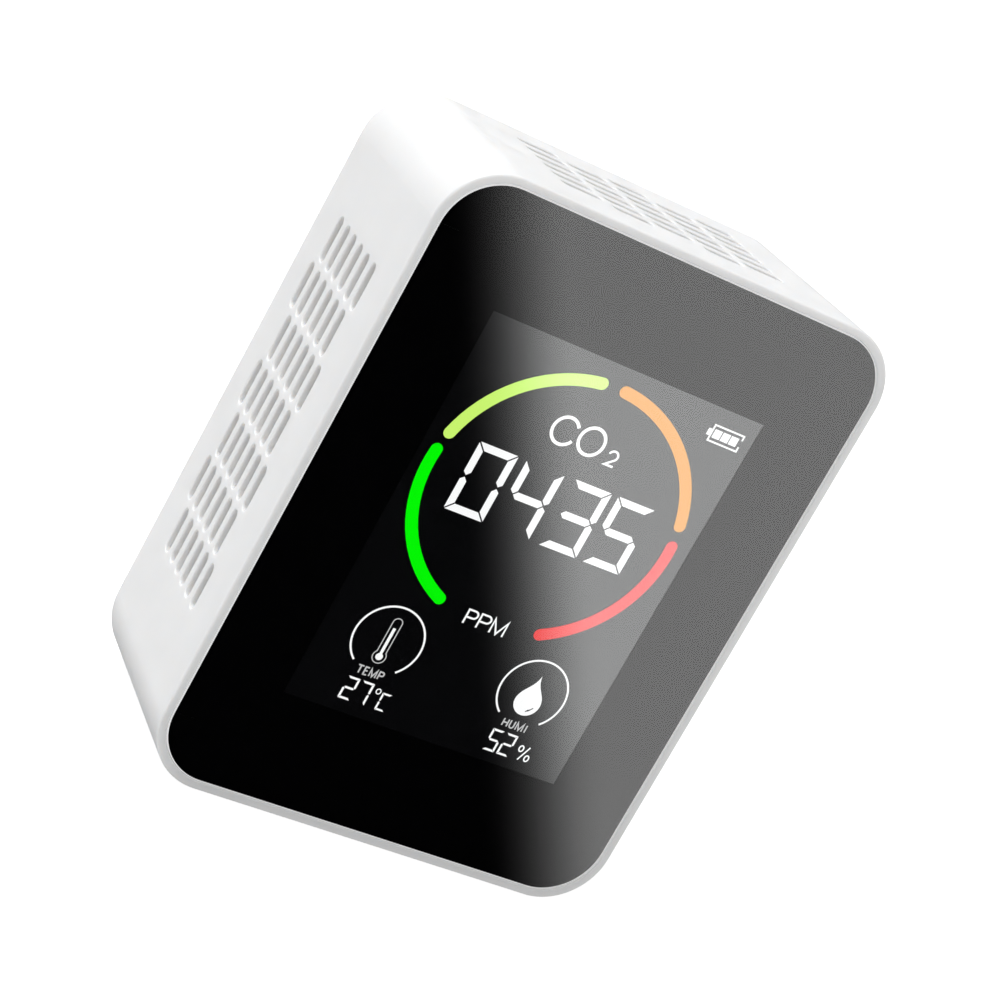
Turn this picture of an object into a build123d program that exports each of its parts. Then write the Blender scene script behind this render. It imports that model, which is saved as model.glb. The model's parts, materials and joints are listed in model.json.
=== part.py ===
"""Desk carbon dioxide monitor with a 2.8 inch colour display.

Millimetres. The origin is the middle of the footprint on the table: +X is to
the right of somebody reading the display, +Y runs from the display to the
back, and +Z is up. The display faces -Y.
"""
from build123d import *
import os

os.makedirs("parts", exist_ok=True)

# ---------------------------------------------------------------- driving dimensions
CASE_WIDTH = 70.8
CASE_HEIGHT = 91.8
CASE_DEPTH = 36.6
CASE_CORNER = 9.1
SIDE_DRAFT = 1.2  # each side wall leans in by this much from front to back
TOP_DRAFT = 0.8
WALL = 1.8
BACK_WALL = 2.0
BACK_EDGE_ROUND = 2.75
FRONT_EDGE_ROUND = 0.3

LENS_WIDTH = 68.3
LENS_HEIGHT = 89.3
LENS_CORNER = 8.15
LENS_THICKNESS = 0.5
LENS_RECESS = 0.05
LENS_GAP = 0.05
LENS_BEVEL = 0.15
MOUTH_BEVEL = 0.15
MASK_THICKNESS = 0.05
WINDOW_WIDTH = 43.2
WINDOW_HEIGHT = 58.0
WINDOW_SHIFT = (0.15, -0.17)  # right and up, from the middle of the lens
LENS_TAPE_THICKNESS = 0.25
LENS_TAPE_WIDTH = 2.6
LENS_TAPE_INSET = 0.6

FRAME_THICKNESS = 1.6
LCD_WIDTH = 50.0
LCD_HEIGHT = 69.2
LCD_ACTIVE_HEIGHT = 57.6
LCD_TOP_BORDER = 2.75
LCD_GLASS = 1.2
LCD_BACKLIGHT = 2.2
LCD_TAPE = 0.35
LCD_FIT = 0.2
LCD_GAP = 0.1

BOARD_WIDTH = 61.0
BOARD_THICKNESS = 1.6
BOARD_ABOVE_LCD = 2.0
BOARD_INSIDE_LCD = 0.6  # the board starts this much above the display module's lower edge
ROOT = 0.5  # ribs and towers are sunk this far into the wall they grow from

SLOT_WIDTH = 1.9
SLOT_PITCH = 3.4
SLOT_LIP = 0.12
SLOTS_PER_ROW = 6
SIDE_SLOT_LENGTH = 6.7
SIDE_ROW_PITCH = 7.55
SIDE_ROWS = 7
SIDE_VENT_RISE = 0.45  # the side vents sit this much above the middle of the display
TOP_SLOT_LENGTH = 6.5
TOP_GROUP_PITCH = 7.35
TOP_GROUPS = 5
TOP_VENT_SHIFT = 0.75  # the top vents sit this much right of the middle
TOP_VENT_FORWARD = 0.7

TOWER_X = 21.0
TOWER_Z = (5.3, 85.2)
TOWER_RADIUS = 3.6
TOWER_FRONT = -9.0
SCREW_HEAD_SEAT = -7.4
SCREW_HEAD_WELL = 2.3
SCREW_CLEARANCE = 1.15
SCREW_RADIUS = 0.98
SCREW_PILOT = 0.98

BUTTON_LENGTH = 8.0
BUTTON_HEIGHT = 3.4
BUTTON_FIT = 0.15
BUTTON_Z = 78.0
BUTTON_Y = -10.9
BUTTON_TRAVEL = 0.35

USB_LENGTH = 8.94
USB_HEIGHT = 3.2
USB_DEPTH = 7.35
USB_Z = 13.5
USB_SHEET = 0.3
USB_SUNK = 1.0  # the receptacle's mouth stands this far inside the wall's outer face
USB_RELIEF = 0.1
USB_OPENING = 0.3  # air all round the receptacle in the wall
USB_POCKET = 0.6  # air round it in the relief cut inside the wall
USB_POCKET_BACK = 2.5

BATTERY_WIDTH = 37.0
BATTERY_LENGTH = 59.0
BATTERY_THICKNESS = 5.0
BATTERY_Z = 48.0
BATTERY_TAPE = 0.3

# ---------------------------------------------------------------- worked out
front_y = -CASE_DEPTH / 2
back_y = CASE_DEPTH / 2
mid_z = CASE_HEIGHT / 2
cavity_back = back_y - BACK_WALL

lens_front = front_y + LENS_RECESS
lens_back = lens_front + LENS_THICKNESS
mask_back = lens_back + MASK_THICKNESS
frame_front = mask_back + LENS_TAPE_THICKNESS
frame_back = frame_front + FRAME_THICKNESS

lcd_front = mask_back + LCD_GAP
lcd_glass_back = lcd_front + LCD_GLASS
backlight_back = lcd_glass_back + LCD_BACKLIGHT
board_front = backlight_back + LCD_TAPE
board_back = board_front + BOARD_THICKNESS
lcd_top = mid_z + LCD_ACTIVE_HEIGHT / 2 + LCD_TOP_BORDER
lcd_bottom = lcd_top - LCD_HEIGHT
lcd_mid = (lcd_top + lcd_bottom) / 2
board_bottom = lcd_bottom + BOARD_INSIDE_LCD
board_top = lcd_top + BOARD_ABOVE_LCD
board_edge = BOARD_WIDTH / 2


def upright(y, z=0.0):
    """Plane facing the reader at depth y: its x is +X, its y is +Z."""
    return Plane(origin=(0, y, z), x_dir=(1, 0, 0), z_dir=(0, -1, 0))


def side_face(x):
    """Plane facing right at x: its x is +Y, its y is +Z."""
    return Plane.YZ.offset(x)


def case_half_width(y):
    return CASE_WIDTH / 2 - SIDE_DRAFT * (y - front_y) / CASE_DEPTH


def case_top(y):
    return CASE_HEIGHT - TOP_DRAFT * (y - front_y) / CASE_DEPTH


def drafted_block(y_start, y_end, inset=0.0):
    """The case's drafted outer form between two depths, moved inwards by inset."""
    start_half = case_half_width(y_start) - inset
    end_half = case_half_width(y_end) - inset
    with BuildPart() as block:
        with BuildSketch(Plane.XY.offset(inset)):
            with BuildLine():
                Polyline((-start_half, y_start), (start_half, y_start),
                         (end_half, y_end), (-end_half, y_end), close=True)
            make_face()
        extrude(amount=CASE_HEIGHT)
        with BuildSketch(Plane.YZ):
            with BuildLine():
                Polyline((y_start, 0), (y_end, 0), (y_end, case_top(y_end) - inset),
                         (y_start, case_top(y_start) - inset), close=True)
            make_face()
        extrude(amount=CASE_WIDTH, both=True, mode=Mode.INTERSECT)
        long_edges = block.edges().filter_by(lambda edge: abs(edge.tangent_at(0.5).Y) > 0.9)
        fillet(long_edges, CASE_CORNER - inset)
    return block.part


def slab(y_start, y_end, width, height, x=0.0, z=0.0, corner=0.0, mode=Mode.ADD):
    """Plate facing the reader, from y_start back to y_end, in the part being built."""
    with BuildSketch(upright(y_end)) as outline:
        with Locations((x, z)):
            if corner:
                RectangleRounded(width, height, corner)
            else:
                Rectangle(width, height)
    extrude(outline.sketch, amount=y_end - y_start, mode=mode)


def post(y_start, y_end, radius, points, mode=Mode.ADD):
    """Round posts, or holes, along Y at the given (x, z) points."""
    with BuildSketch(upright(y_end)) as outline:
        with Locations(*points):
            Circle(radius)
    extrude(outline.sketch, amount=y_end - y_start, mode=mode)


def finish(builder, name):
    builder.part.label = name
    export_step(builder.part, f"parts/{name}.step")


tower_points = [(x, z) for z in TOWER_Z for x in (-TOWER_X, TOWER_X)]

# ---------------------------------------------------------------- case shell
vent_z = mid_z + SIDE_VENT_RISE
stagger = SLOT_PITCH / 4
usb_y = board_back + USB_HEIGHT / 2
usb_front_x = case_half_width(usb_y) - USB_SUNK
usb_relief_x = usb_front_x + USB_RELIEF

RIB = 1.2
RIB_HEIGHT = 4.0
RIB_REACH = 7.0
RIB_FIT = 0.4  # air between the cell and its ribs
WALL_FACE_AREA = 500.0  # larger than any flat face but the walls

with BuildPart() as case_shell:
    add(drafted_block(front_y, back_y))
    fillet(case_shell.edges().group_by(Axis.Y)[-1], BACK_EDGE_ROUND)
    fillet(case_shell.edges().group_by(Axis.Y)[0], FRONT_EDGE_ROUND)

    # the hollow behind the display frame, and the bevelled mouth that takes lens and frame
    add(drafted_block(frame_back, cavity_back, WALL), mode=Mode.SUBTRACT)
    with BuildSketch(upright(frame_back, mid_z)):
        RectangleRounded(LENS_WIDTH + 2 * LENS_GAP, LENS_HEIGHT + 2 * LENS_GAP, LENS_CORNER + LENS_GAP)
    extrude(amount=frame_back - front_y, mode=Mode.SUBTRACT)
    rim_face = case_shell.faces().sort_by(Axis.Y)[0]
    chamfer(rim_face.inner_wires()[0].edges(), MOUTH_BEVEL)

    # side vents: staggered rows of upright slots through both side walls
    with BuildSketch(side_face(0)):
        with Locations((-stagger, vent_z)):
            with GridLocations(SLOT_PITCH, 2 * SIDE_ROW_PITCH, SLOTS_PER_ROW, (SIDE_ROWS + 1) // 2):
                SlotOverall(SIDE_SLOT_LENGTH, SLOT_WIDTH, rotation=90)
        with Locations((stagger, vent_z)):
            with GridLocations(SLOT_PITCH, 2 * SIDE_ROW_PITCH, SLOTS_PER_ROW, SIDE_ROWS // 2):
                SlotOverall(SIDE_SLOT_LENGTH, SLOT_WIDTH, rotation=90)
    extrude(amount=CASE_WIDTH, both=True, mode=Mode.SUBTRACT)

    # top vents: the same slots lying across the top wall
    with BuildSketch(Plane.XY.offset(CASE_HEIGHT - CASE_CORNER)):
        with Locations((TOP_VENT_SHIFT, stagger - TOP_VENT_FORWARD)):
            with GridLocations(2 * TOP_GROUP_PITCH, SLOT_PITCH, (TOP_GROUPS + 1) // 2, SLOTS_PER_ROW):
                SlotOverall(TOP_SLOT_LENGTH, SLOT_WIDTH)
        with Locations((TOP_VENT_SHIFT, -stagger - TOP_VENT_FORWARD)):
            with GridLocations(2 * TOP_GROUP_PITCH, SLOT_PITCH, TOP_GROUPS // 2, SLOTS_PER_ROW):
                SlotOverall(TOP_SLOT_LENGTH, SLOT_WIDTH)
    extrude(amount=2 * CASE_CORNER, mode=Mode.SUBTRACT)

    # soft lips on the vent slots
    walls = case_shell.faces().filter_by(GeomType.PLANE).filter_by(lambda face: face.area > WALL_FACE_AREA)
    for wall_face in (walls.sort_by(Axis.X)[0], walls.sort_by(Axis.X)[-1], walls.sort_by(Axis.Z)[-1]):
        chamfer([edge for wire in wall_face.inner_wires() for edge in wire.edges()], SLOT_LIP)

    # screw towers from the back wall, tied to the floor and the roof by webs
    post(TOWER_FRONT, cavity_back + ROOT, TOWER_RADIUS, tower_points)
    for x, z in tower_points:
        in_wall = WALL / 2 if z < mid_z else case_top(back_y) - WALL / 2
        slab(TOWER_FRONT, cavity_back + ROOT, RIB, abs(in_wall - z), x, (in_wall + z) / 2)

    # four corner ribs that hold the cell in place
    for sx in (-1, 1):
        for sz in (-1, 1):
            rib_x = sx * (BATTERY_WIDTH / 2 + RIB_FIT + RIB / 2)
            rib_z = sz * (BATTERY_LENGTH / 2 + RIB_FIT + RIB / 2)
            slab(cavity_back - RIB_HEIGHT, cavity_back + ROOT, RIB, RIB_REACH,
                 rib_x, BATTERY_Z + rib_z - sz * (RIB_REACH - RIB) / 2)
            slab(cavity_back - RIB_HEIGHT, cavity_back + ROOT, RIB_REACH, RIB,
                 rib_x - sx * (RIB_REACH - RIB) / 2, BATTERY_Z + rib_z)

    back_face = Plane(origin=(0, back_y, 0), x_dir=(-1, 0, 0), z_dir=(0, 1, 0))
    with Locations(back_face):
        with Locations(*tower_points):
            CounterBoreHole(SCREW_CLEARANCE, SCREW_HEAD_WELL, back_y - SCREW_HEAD_SEAT)

    # right wall: USB-C opening with an inner relief for the receptacle, and the button opening
    with BuildSketch(side_face(usb_relief_x)):
        with Locations((usb_y, USB_Z)):
            SlotOverall(USB_LENGTH + 2 * USB_OPENING, USB_HEIGHT + 2 * USB_OPENING, rotation=90)
        with Locations((BUTTON_Y, BUTTON_Z)):
            SlotOverall(BUTTON_LENGTH + 2 * BUTTON_FIT, BUTTON_HEIGHT + 2 * BUTTON_FIT, rotation=90)
    extrude(amount=WALL, both=True, mode=Mode.SUBTRACT)
    with BuildSketch(side_face(usb_relief_x)):
        with Locations(((frame_back + usb_y + USB_POCKET_BACK) / 2, USB_Z)):
            Rectangle(usb_y + USB_POCKET_BACK - frame_back, USB_LENGTH + 2 * USB_POCKET)
    extrude(amount=-2 * WALL, mode=Mode.SUBTRACT)

finish(case_shell, "case_shell")

# ---------------------------------------------------------------- display frame
BOSS_RADIUS = 2.5
BOARD_BOSS_X = 28.0
BOARD_BOSS_Z = (24.0, 68.0)
BOARD_BOSS_RADIUS = 2.0
BOARD_SCREW_PILOT = 0.98
FLEX_WIDTH = 20.0
FLEX_NOTCH = 5.0
FRAME_RIM = 1.0
FRAME_FIT = 0.1  # air between the frame and the mouth of the case
BOSS_CLEARANCE = 0.05
BOSS_FLOOR = 0.3

board_points = [(x, z) for z in BOARD_BOSS_Z for x in (-BOARD_BOSS_X, BOARD_BOSS_X)]
frame_width = LENS_WIDTH - 2 * FRAME_FIT
frame_height = LENS_HEIGHT - 2 * FRAME_FIT

with BuildPart() as display_frame:
    slab(frame_front, frame_back, frame_width, frame_height, 0, mid_z, LENS_CORNER - FRAME_FIT)
    # rim that stiffens the plate around the display module
    slab(frame_front, board_front - LCD_TAPE, LCD_WIDTH + 2 * (LCD_FIT + FRAME_RIM),
         LCD_HEIGHT + 2 * (LCD_FIT + FRAME_RIM), 0, lcd_mid)
    post(frame_front + FRAME_THICKNESS / 2, TOWER_FRONT - BOSS_CLEARANCE, BOSS_RADIUS, tower_points)
    post(frame_front + FRAME_THICKNESS / 2, board_front, BOARD_BOSS_RADIUS, board_points)
    slab(frame_front - 1, board_front, LCD_WIDTH + 2 * LCD_FIT, LCD_HEIGHT + 2 * LCD_FIT, 0, lcd_mid,
         mode=Mode.SUBTRACT)
    # notch below the display module for its folded ribbon
    slab(frame_front - 1, board_front, FLEX_WIDTH + 2, FLEX_NOTCH + 1, 0,
         lcd_bottom - LCD_FIT - FLEX_NOTCH / 2 + 0.5, mode=Mode.SUBTRACT)
    post(frame_back - BOSS_FLOOR, TOWER_FRONT, SCREW_PILOT, tower_points, mode=Mode.SUBTRACT)
    post(frame_front + BOSS_FLOOR, board_front, BOARD_SCREW_PILOT, board_points, mode=Mode.SUBTRACT)

finish(display_frame, "display_frame")

# ---------------------------------------------------------------- lens, its black print and its tape
with BuildPart() as front_lens:
    slab(lens_front, lens_back, LENS_WIDTH, LENS_HEIGHT, 0, mid_z, LENS_CORNER)
    chamfer(front_lens.edges().group_by(Axis.Y)[0], LENS_BEVEL)

finish(front_lens, "front_lens")

with BuildPart() as lens_mask:
    slab(lens_back, mask_back, LENS_WIDTH, LENS_HEIGHT, 0, mid_z, LENS_CORNER)
    slab(lens_back, mask_back, WINDOW_WIDTH, WINDOW_HEIGHT, WINDOW_SHIFT[0], mid_z + WINDOW_SHIFT[1],
         mode=Mode.SUBTRACT)

finish(lens_mask, "lens_mask")

tape_width = LENS_WIDTH - 2 * LENS_TAPE_INSET
tape_height = LENS_HEIGHT - 2 * LENS_TAPE_INSET

with BuildPart() as lens_tape:
    slab(mask_back, frame_front, tape_width, tape_height, 0, mid_z, LENS_CORNER - LENS_TAPE_INSET)
    slab(mask_back, frame_front, tape_width - 2 * LENS_TAPE_WIDTH, tape_height - 2 * LENS_TAPE_WIDTH,
         0, mid_z, LENS_CORNER - LENS_TAPE_INSET - LENS_TAPE_WIDTH, mode=Mode.SUBTRACT)

finish(lens_tape, "lens_tape")

# ---------------------------------------------------------------- display module
POLARIZER = 0.2
POLARIZER_WIDTH = 46.4
POLARIZER_HEIGHT = 61.0
LEDGE = 4.7  # the rear glass runs on below the front glass by this much
DRIVER_LENGTH = 20.0

glass_split = (lcd_front + POLARIZER + lcd_glass_back) / 2
front_glass_mid = (lcd_top + lcd_bottom + LEDGE) / 2

with BuildPart() as lcd_polarizer:
    slab(lcd_front, lcd_front + POLARIZER, POLARIZER_WIDTH, POLARIZER_HEIGHT, 0, mid_z)

finish(lcd_polarizer, "lcd_polarizer")

with BuildPart() as lcd_glass:
    slab(lcd_front + POLARIZER, glass_split, LCD_WIDTH, LCD_HEIGHT - LEDGE, 0, front_glass_mid)
    slab(glass_split, lcd_glass_back, LCD_WIDTH, LCD_HEIGHT, 0, lcd_mid)

finish(lcd_glass, "lcd_glass")

with BuildPart() as lcd_driver:
    slab(glass_split - 0.3, glass_split, DRIVER_LENGTH, 0.9, 0, lcd_bottom + 3.6)

finish(lcd_driver, "lcd_driver")

with BuildPart() as lcd_backlight:
    slab(lcd_glass_back, backlight_back, LCD_WIDTH, LCD_HEIGHT, 0, lcd_mid)
    fillet(lcd_backlight.edges().filter_by(Axis.Y), 0.6)

finish(lcd_backlight, "lcd_backlight")

with BuildPart() as lcd_tape:
    for z in (lcd_bottom + 12, lcd_top - 12):
        slab(backlight_back, board_front, 34, 8, 0, z)

finish(lcd_tape, "lcd_tape")

# ribbon: bonded on the glass ledge, folded round the board's lower edge, into its socket behind
FLEX_THICKNESS = 0.15
SOCKET_HEIGHT = 1.6
SOCKET_DEPTH = 5.0
SOCKET_WIDTH = 24.0
SOCKET_Z = board_bottom + 1.6 + SOCKET_DEPTH / 2

flex_front_y = glass_split - FLEX_THICKNESS / 2
flex_back_y = board_back + SOCKET_HEIGHT / 2
flex_radius = (flex_back_y - flex_front_y) / 2
flex_turn_z = lcd_bottom - 1.4

with BuildPart() as lcd_flex:
    with BuildSketch(side_face(FLEX_WIDTH / 2)):
        with BuildLine() as ribbon:
            Line((flex_front_y, lcd_bottom + 2.4), (flex_front_y, flex_turn_z))
            CenterArc((flex_front_y + flex_radius, flex_turn_z), flex_radius, 180, 180)
            Line((flex_back_y, flex_turn_z), (flex_back_y, SOCKET_Z - SOCKET_DEPTH / 2))
        trace(ribbon.line, line_width=FLEX_THICKNESS)
    extrude(amount=-FLEX_WIDTH)

finish(lcd_flex, "lcd_flex")

with BuildPart() as fpc_connector:
    slab(board_back, board_back + SOCKET_HEIGHT, SOCKET_WIDTH, SOCKET_DEPTH, 0, SOCKET_Z)
    fillet(fpc_connector.edges().filter_by(Axis.Y), 0.4)

finish(fpc_connector, "fpc_connector")

# ---------------------------------------------------------------- main board
USB_TAB_X = 32.4
USB_TAB_TOP = 19.0
SENSOR_SLIT_LENGTH = 9.0
HUMIDITY_X = -27.6
HUMIDITY_Z = 44.0
board_mid = (board_top + board_bottom) / 2

with BuildPart() as main_board:
    slab(board_front, board_back, BOARD_WIDTH, board_top - board_bottom, 0, board_mid, 1.0)
    slab(board_front, board_back, USB_TAB_X - board_edge + 2, USB_TAB_TOP - board_bottom,
         (USB_TAB_X + board_edge) / 2 - 1, (USB_TAB_TOP + board_bottom) / 2, 0.6)
    post(board_front, board_back, SCREW_CLEARANCE, board_points, mode=Mode.SUBTRACT)
    # slits that keep the board's heat away from the temperature and humidity sensor
    for z in (HUMIDITY_Z - 4, HUMIDITY_Z + 4):
        slab(board_front, board_back, SENSOR_SLIT_LENGTH, 1.0, -board_edge + SENSOR_SLIT_LENGTH / 2 + 1.5, z,
             mode=Mode.SUBTRACT)

finish(main_board, "main_board")

# ---------------------------------------------------------------- USB-C receptacle
usb_back_x = usb_front_x - USB_DEPTH

with BuildPart() as usb_c_shell:
    with BuildSketch(side_face(usb_back_x)):
        with Locations((usb_y, USB_Z)):
            SlotOverall(USB_LENGTH, USB_HEIGHT, rotation=90)
    extrude(amount=USB_DEPTH)
    with BuildSketch(side_face(usb_back_x + 1.2)):
        with Locations((usb_y, USB_Z)):
            SlotOverall(USB_LENGTH - 2 * USB_SHEET, USB_HEIGHT - 2 * USB_SHEET, rotation=90)
    extrude(amount=USB_DEPTH, mode=Mode.SUBTRACT)

finish(usb_c_shell, "usb_c_shell")

with BuildPart() as usb_c_tongue:
    with BuildSketch(side_face(usb_back_x + 1.2)):
        with Locations((usb_y, USB_Z)):
            Rectangle(0.7, 6.7)
    extrude(amount=USB_DEPTH - 1.9)
    fillet(usb_c_tongue.edges().filter_by(Axis.Z).group_by(Axis.X)[-1], 0.2)

finish(usb_c_tongue, "usb_c_tongue")

# ---------------------------------------------------------------- power button and its switch
SWITCH_DEPTH = 3.5
SWITCH_LENGTH = 4.7
SWITCH_HEIGHT = 1.7
PLUNGER_REACH = 0.9
PLUNGER_LENGTH = 1.9
PLUNGER_HEIGHT = 0.9
STEM_LENGTH = 2.6
STEM_HEIGHT = 1.4
FLANGE = 1.1
FLANGE_LIP = 0.8
BUTTON_PROUD = 0.22

switch_front_x = board_edge + 0.1
switch_y = board_back + SWITCH_HEIGHT / 2
plunger_tip_x = switch_front_x + PLUNGER_REACH
wall_outer_x = case_half_width(BUTTON_Y)
wall_inner_x = wall_outer_x - WALL
flange_x = wall_inner_x - 0.16
button_face_x = wall_outer_x + BUTTON_PROUD

with BuildPart() as tact_switch:
    with BuildSketch(side_face(switch_front_x)):
        with Locations((switch_y, BUTTON_Z)):
            Rectangle(SWITCH_HEIGHT, SWITCH_LENGTH)
    extrude(amount=-SWITCH_DEPTH)
    fillet(tact_switch.edges().filter_by(Axis.Y), 0.3)
    with BuildSketch(side_face(switch_front_x)):
        with Locations((switch_y, BUTTON_Z)):
            Rectangle(PLUNGER_HEIGHT + 0.1, PLUNGER_LENGTH + 0.1)
    extrude(amount=-1.0, mode=Mode.SUBTRACT)

finish(tact_switch, "tact_switch")

with BuildPart() as switch_plunger:
    with BuildSketch(side_face(switch_front_x - 1.0 + BUTTON_TRAVEL + 0.1)):
        with Locations((switch_y, BUTTON_Z)):
            Rectangle(PLUNGER_HEIGHT, PLUNGER_LENGTH)
    extrude(amount=PLUNGER_REACH + 1.0 - BUTTON_TRAVEL - 0.1)
    fillet(switch_plunger.edges().group_by(Axis.X)[-1], 0.15)

finish(switch_plunger, "switch_plunger")

with BuildPart() as power_button:
    with BuildSketch(side_face(flange_x)):
        with Locations((BUTTON_Y, BUTTON_Z)):
            SlotOverall(BUTTON_LENGTH, BUTTON_HEIGHT, rotation=90)
    extrude(amount=button_face_x - flange_x)
    fillet(power_button.edges().group_by(Axis.X)[-1], 0.2)
    # flange that keeps the cap from leaving through the wall
    with BuildSketch(side_face(flange_x)):
        with Locations((BUTTON_Y, BUTTON_Z)):
            SlotOverall(BUTTON_LENGTH + 2 * FLANGE_LIP, BUTTON_HEIGHT + 2 * FLANGE_LIP, rotation=90)
    extrude(amount=-FLANGE)
    # stem that reaches the switch
    with BuildSketch(side_face(flange_x - FLANGE)):
        with Locations((switch_y, BUTTON_Z)):
            Rectangle(STEM_HEIGHT, STEM_LENGTH)
    extrude(amount=-(flange_x - FLANGE - plunger_tip_x - 0.04))

finish(power_button, "power_button")

# ---------------------------------------------------------------- carbon dioxide sensor module
SENSOR_X = -14.5
SENSOR_Z = 56.0
SENSOR_BOARD_WIDTH = 21.0
SENSOR_BOARD_HEIGHT = 33.0
HEADER_HEIGHT = 2.5
SENSOR_BOARD = 1.0
CHAMBER_DEPTH = 7.5
MEMBRANE_RADIUS = 2.6
MEMBRANE_THICKNESS = 0.3

sensor_board_front = board_back + HEADER_HEIGHT
sensor_board_back = sensor_board_front + SENSOR_BOARD
chamber_back = sensor_board_back + CHAMBER_DEPTH
membrane_points = [(SENSOR_X + 4.5, SENSOR_Z + dz) for dz in (-8.0, 0.0, 8.0)]

with BuildPart() as sensor_headers:
    for sz in (-1, 1):
        slab(board_back, sensor_board_front, 5 * 2.54, 2.5, SENSOR_X, SENSOR_Z + sz * 15)
    fillet(sensor_headers.edges().filter_by(Axis.Y), 0.3)

finish(sensor_headers, "sensor_headers")

with BuildPart() as sensor_board:
    slab(sensor_board_front, sensor_board_back, SENSOR_BOARD_WIDTH, SENSOR_BOARD_HEIGHT,
         SENSOR_X, SENSOR_Z, 0.8)

finish(sensor_board, "sensor_board")

with BuildPart() as sensor_pins:
    with BuildSketch(upright(sensor_board_back + 0.8)):
        for sz in (-1, 1):
            with Locations((SENSOR_X, SENSOR_Z + sz * 15)):
                with GridLocations(2.54, 1, 5, 1):
                    Rectangle(0.64, 0.64)
    extrude(amount=0.8)

finish(sensor_pins, "sensor_pins")

with BuildPart() as sensor_chamber:
    slab(sensor_board_back, chamber_back, 19.0, 26.0, SENSOR_X, SENSOR_Z, 1.5)
    fillet(sensor_chamber.edges().group_by(Axis.Y)[-1], 0.8)
    slab(chamber_back - 0.5, chamber_back, 5.0, 22.0, SENSOR_X - 5.0, SENSOR_Z, 1.2, mode=Mode.SUBTRACT)
    post(chamber_back - MEMBRANE_THICKNESS, chamber_back, MEMBRANE_RADIUS, membrane_points,
         mode=Mode.SUBTRACT)

finish(sensor_chamber, "sensor_chamber")

with BuildPart() as sensor_membranes:
    post(chamber_back - MEMBRANE_THICKNESS, chamber_back, MEMBRANE_RADIUS, membrane_points)

finish(sensor_membranes, "sensor_membranes")

# ---------------------------------------------------------------- parts soldered on the board


def chip(name, x, z, width, height, thickness, corner=0.15):
    """One moulded block soldered on the back of the main board."""
    with BuildPart() as block:
        slab(board_back, board_back + thickness, width, height, x, z, corner)
        chamfer(block.edges().group_by(Axis.Y)[-1], min(0.15, thickness / 4))
    finish(block, name)


def chip_group(name, points, width, height, thickness):
    """A group of alike small blocks soldered on the back of the main board."""
    with BuildPart() as blocks:
        with BuildSketch(upright(board_back + thickness)) as outline:
            with Locations(*points):
                Rectangle(width, height)
        extrude(outline.sketch, amount=thickness)
    finish(blocks, name)


chip("humidity_sensor", HUMIDITY_X, HUMIDITY_Z, 3.0, 3.0, 1.0)
chip("microcontroller", 12.0, 60.0, 7.0, 7.0, 0.9)
chip("clock_crystal", 20.0, 60.0, 3.2, 2.5, 0.8, 0.4)
chip("charger_chip", 16.0, 24.0, 5.0, 4.0, 1.5)
chip("voltage_regulator", 22.0, 33.0, 3.0, 1.7, 1.1)
chip("power_inductor", 16.0, 31.5, 4.0, 4.0, 2.0, 0.8)

capacitor_points = [(x, 66.5) for x in (7, 10, 13, 16)]
capacitor_points += [(x, 53.5) for x in (7, 10, 13, 16)]
capacitor_points += [(22.5, z) for z in (20, 23, 26, 29)]
chip_group("capacitors", capacitor_points, 1.0, 1.8, 0.9)

resistor_points = [(x, 70.5) for x in (6, 8, 10, 12, 14, 16)]
resistor_points += [(x, 49.5) for x in (6, 8, 10, 12, 14, 16)]
resistor_points += [(9.5, z) for z in (20, 23, 26, 29)]
chip_group("resistors", resistor_points, 0.8, 1.6, 0.45)

BUZZER_X = 12.0
BUZZER_Z = 41.0

with BuildPart() as buzzer:
    slab(board_back, board_back + 3.5, 9.0, 9.0, BUZZER_X, BUZZER_Z, 0.8)
    fillet(buzzer.edges().group_by(Axis.Y)[-1], 0.3)
    post(board_back + 1.5, board_back + 3.5, 0.9, [(BUZZER_X, BUZZER_Z)], mode=Mode.SUBTRACT)

finish(buzzer, "buzzer")

# ---------------------------------------------------------------- battery
LEAD_RADIUS = 0.6
LEAD_SPACING = 2.0
CONNECTOR_X = -14.0
CONNECTOR_Z = 27.0
CONNECTOR_DEPTH = 5.0
PLUG_LENGTH = 4.5
PLUG_INSERTION = 3.0
CELL_BOARD_HEIGHT = 3.5

tape_front = cavity_back - BATTERY_TAPE
cell_front = tape_front - BATTERY_THICKNESS
cell_bottom = BATTERY_Z - BATTERY_LENGTH / 2 + CELL_BOARD_HEIGHT
plug_front = board_back + CONNECTOR_DEPTH - PLUG_INSERTION
plug_back = plug_front + PLUG_LENGTH + 0.5

with BuildPart() as battery_cell:
    slab(cell_front, tape_front, BATTERY_WIDTH, BATTERY_LENGTH - CELL_BOARD_HEIGHT,
         0, BATTERY_Z + CELL_BOARD_HEIGHT / 2)
    fillet(battery_cell.edges().filter_by(Axis.Z), 2.2)
    fillet(battery_cell.edges().group_by(Axis.Z)[-1], 0.8)

finish(battery_cell, "battery_cell")

with BuildPart() as battery_guard_board:
    slab(cell_front + 1.6, cell_front + 3.0, 28.0, CELL_BOARD_HEIGHT, 0, cell_bottom - CELL_BOARD_HEIGHT / 2, 0.5)

finish(battery_guard_board, "battery_guard_board")

with BuildPart() as battery_tape:
    for x in (-9, 9):
        slab(tape_front, cavity_back, 12, 44, x, BATTERY_Z + 1)

finish(battery_tape, "battery_tape")

with BuildPart() as battery_connector:
    slab(board_back, board_back + CONNECTOR_DEPTH, 8.0, 5.0, CONNECTOR_X, CONNECTOR_Z, 0.3)
    slab(plug_front, board_back + CONNECTOR_DEPTH, 6.4, 3.4, CONNECTOR_X, CONNECTOR_Z, mode=Mode.SUBTRACT)

finish(battery_connector, "battery_connector")

with BuildPart() as battery_plug:
    slab(plug_front, plug_back, 6.3, 3.3, CONNECTOR_X, CONNECTOR_Z, 0.2)

finish(battery_plug, "battery_plug")

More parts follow.
